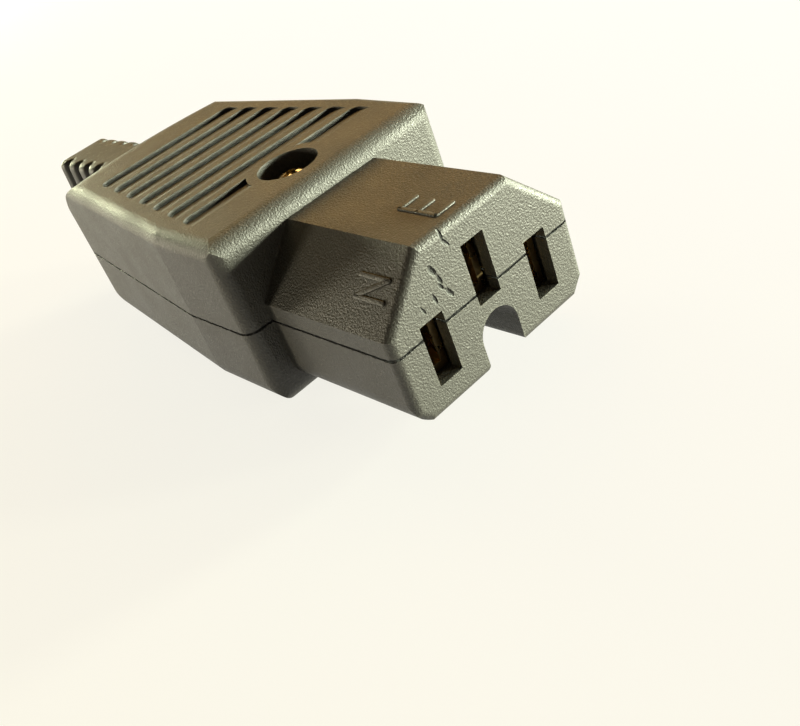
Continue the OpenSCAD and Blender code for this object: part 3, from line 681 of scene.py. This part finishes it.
# ---------------------------------------------------------------- contacts and terminals
# Three folded brass sockets that run back to screw terminals. A hardened steel clip holds each pair
# of leaves together, and a thin steel leaf keeps each screw's tip off the strands.
for line in ("line", "neutral", "earth"):
    dress(line + "_contact", brass)
    dress(line + "_spring", strip_steel)
    dress(line + "_wire_guard", strip_steel)
    dress(line + "_terminal_screw", plated_steel)


# ---------------------------------------------------------------- cord clamp
# A moulded bar and two self-tapping screws that press the cord into the lower shell's saddle.
CLAMP_BLACK = (0.045, 0.045, 0.047, 1)
# the clamp's worn colour also paints its glint cells lighter, as painted glints
CLAMP_WORN_AND_GLINT = (0.10, 0.10, 0.10, 1)
clamp_plastic = moulded_plastic("clamp_plastic", CLAMP_BLACK, CLAMP_WORN_AND_GLINT, 0.46, 4.0, 0.02, 0.5)
dress("cord_clamp", clamp_plastic)
dress("cord_clamp_screw_left", plated_steel)
dress("cord_clamp_screw_right", plated_steel)


# ---------------------------------------------------------------- strain relief boot
# One soft black moulding, pushed in from inside and held by its flange in the shells' rear wall. Five
# round-bottomed grooves across each narrow side let it bend sideways; it has a slight upward set.
BOOT_LENGTH = 17.0
BOOT_HALF_WIDTH = 3.9
BOOT_ROOT_HALF = 7.2
BOOT_TIP_HALF = 3.8
BOOT_EDGE = 0.9
BOOT_SET = math.radians(10)
BOOT_BORE = 2.6
BORE_EASING = 0.2
MOUTH_BORE = 2.9
MOUTH_END = 0.8
BEND_HALF = 2.0
LINE_START = -8.0
LINE_STEPS = 40
COLLAR_HALF = (4.2, 7.4)
COLLAR_END = -0.9
FLANGE_HALF = (5.5, 7.6)
FLANGE_THICK = 1.8
FLANGE_FRONT = -6.3
GROOVE_COUNT = 5
GROOVE_FIRST = 2.0
GROOVE_PITCH = 3.1
# half of a groove's section: distance from its middle, and its depth there
GROOVE_PROFILE = ((0.0, 1.05), (0.3, 0.98), (0.5, 0.76), (0.62, 0.44), (0.72, 0.18), (0.85, 0.05),
                  (1.05, 0.015))
CORNER_STEPS = 5
SIDE_STEPS = 8
TIP_STEPS = 5
TIP_CORNER = 0.25
MERGE = 0.002
CREASE = math.radians(42)
BOOT_BLACK = (0.030, 0.028, 0.023, 1)
# the boot's worn colour also paints its glint cells lighter, as painted glints
BOOT_WORN_AND_GLINT = (0.060, 0.057, 0.050, 1)
boot_root = Vector((0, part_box("strain_relief_boot")[0].y - FLANGE_FRONT * MM,
                    (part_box("lower_shell")[0].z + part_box("upper_shell")[1].z) / 2))


def boot_tilt(along):
    """How far the boot's line has turned upwards at this distance from the housing."""
    share = min(1.0, max(0.0, (along + BEND_HALF) / (2 * BEND_HALF)))
    return BOOT_SET * share * share * (3 - 2 * share)


def boot_place(along):
    """Middle of the boot's section at this distance from the housing."""
    place = Vector((0, LINE_START, 0))
    step = (along - LINE_START) / LINE_STEPS
    for k in range(LINE_STEPS):
        turn = boot_tilt(LINE_START + (k + 0.5) * step)
        place += Vector((0, math.cos(turn), math.sin(turn))) * step
    return place


def boot_half_height(along):
    """Half the boot's height at this distance from the housing."""
    return BOOT_ROOT_HALF + (BOOT_TIP_HALF - BOOT_ROOT_HALF) * along / BOOT_LENGTH


def section_outline(half_width, half_height, radius):
    """Points of one rounded oblong section, anticlockwise from its right side."""
    points = []
    corners = ((1, -1, -90), (1, 1, 0), (-1, 1, 90), (-1, -1, 180))
    for sx, sz, first in corners:
        for k in range(CORNER_STEPS + 1):
            turn = math.radians(first + 90 * k / CORNER_STEPS)
            points.append((sx * (half_width - radius) + radius * math.cos(turn),
                           sz * (half_height - radius) + radius * math.sin(turn)))
    filled = []
    for here, after in zip(points, points[1:] + points[:1]):
        gap = math.dist(here, after)
        count = SIDE_STEPS if gap > 2 * radius else 1
        for k in range(count):
            filled.append((here[0] + (after[0] - here[0]) * k / count,
                           here[1] + (after[1] - here[1]) * k / count))
    return filled


def boot_ring(cells, along, outline):
    """Adds one ring of points across the boot."""
    middle = boot_place(along)
    turn = boot_tilt(along)
    up = Vector((0, -math.sin(turn), math.cos(turn)))
    return [cells.verts.new(boot_root + (middle + Vector((across, 0, 0)) + up * above) * MM)
            for across, above in outline]


def boot_stations():
    """Distances along the body with the depth of its grooves there."""
    stations = [(COLLAR_END, 0.0), (0.0, 0.0)]
    for number in range(GROOVE_COUNT):
        middle = GROOVE_FIRST + number * GROOVE_PITCH
        stations += [(middle - off, depth) for off, depth in reversed(GROOVE_PROFILE)]
        stations += [(middle + off, depth) for off, depth in GROOVE_PROFILE[1:]]
        stations.append((middle + GROOVE_PITCH / 2, 0.0))
    return [(along, depth) for along, depth in stations if along < BOOT_LENGTH - BOOT_EDGE]


cells = bmesh.new()
rings = []
for along, (half_width, half_height) in (
        (FLANGE_FRONT, FLANGE_HALF), (FLANGE_FRONT + FLANGE_THICK, FLANGE_HALF),
        (FLANGE_FRONT + FLANGE_THICK, COLLAR_HALF), (COLLAR_END, COLLAR_HALF)):
    rings.append(boot_ring(cells, along, section_outline(half_width, half_height, BOOT_EDGE)))
for along, depth in boot_stations():
    rings.append(boot_ring(cells, along, section_outline(BOOT_HALF_WIDTH - depth,
                                                         boot_half_height(along), BOOT_EDGE)))
for step in range(TIP_STEPS + 1):
    turn = math.radians(90 * step / TIP_STEPS)
    inset = BOOT_EDGE * (1 - math.cos(turn))
    along = BOOT_LENGTH - BOOT_EDGE * (1 - math.sin(turn))
    corner = max(TIP_CORNER, BOOT_EDGE - inset / 2)
    rings.append(boot_ring(cells, along, section_outline(BOOT_HALF_WIDTH - inset,
                                                         boot_half_height(along) - inset, corner)))
bearings = [math.atan2(above, across) for across, above in
            section_outline(BOOT_HALF_WIDTH, BOOT_TIP_HALF, BOOT_EDGE)]
for along, radius in ((BOOT_LENGTH, BOOT_BORE + BORE_EASING), (BOOT_LENGTH - BORE_EASING, BOOT_BORE),
                      (BOOT_LENGTH * 0.75, BOOT_BORE), (BOOT_LENGTH * 0.5, BOOT_BORE),
                      (BOOT_LENGTH * 0.25, BOOT_BORE), (BEND_HALF, BOOT_BORE),
                      (MOUTH_END, BOOT_BORE), (MOUTH_END, MOUTH_BORE), (-BEND_HALF, MOUTH_BORE),
                      (FLANGE_FRONT, MOUTH_BORE)):
    rings.append(boot_ring(cells, along, [(radius * math.cos(bearing), radius * math.sin(bearing))
                                          for bearing in bearings]))
for ring, after in zip(rings, rings[1:] + rings[:1]):
    for k in range(len(ring)):
        beside = (k + 1) % len(ring)
        cells.faces.new((ring[k], ring[beside], after[beside], after[k]))
bmesh.ops.remove_doubles(cells, verts=cells.verts, dist=MERGE * MM)
bmesh.ops.recalc_face_normals(cells, faces=cells.faces)
boot_mesh = bpy.data.meshes.new("soft_boot")
cells.to_mesh(boot_mesh)
cells.free()
for face in boot_mesh.polygons:
    face.use_smooth = True
boot_mesh.set_sharp_from_angle(angle=CREASE)
boot = bpy.data.objects.new("soft_boot", boot_mesh)
bpy.context.scene.collection.objects.link(boot)
boot_rubber = moulded_plastic("boot_rubber", BOOT_BLACK, BOOT_WORN_AND_GLINT, 0.50, 3.2, 0.03, 0.45)
boot_mesh.materials.append(boot_rubber)
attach(boot, "root")
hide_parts("strain_relief_boot")
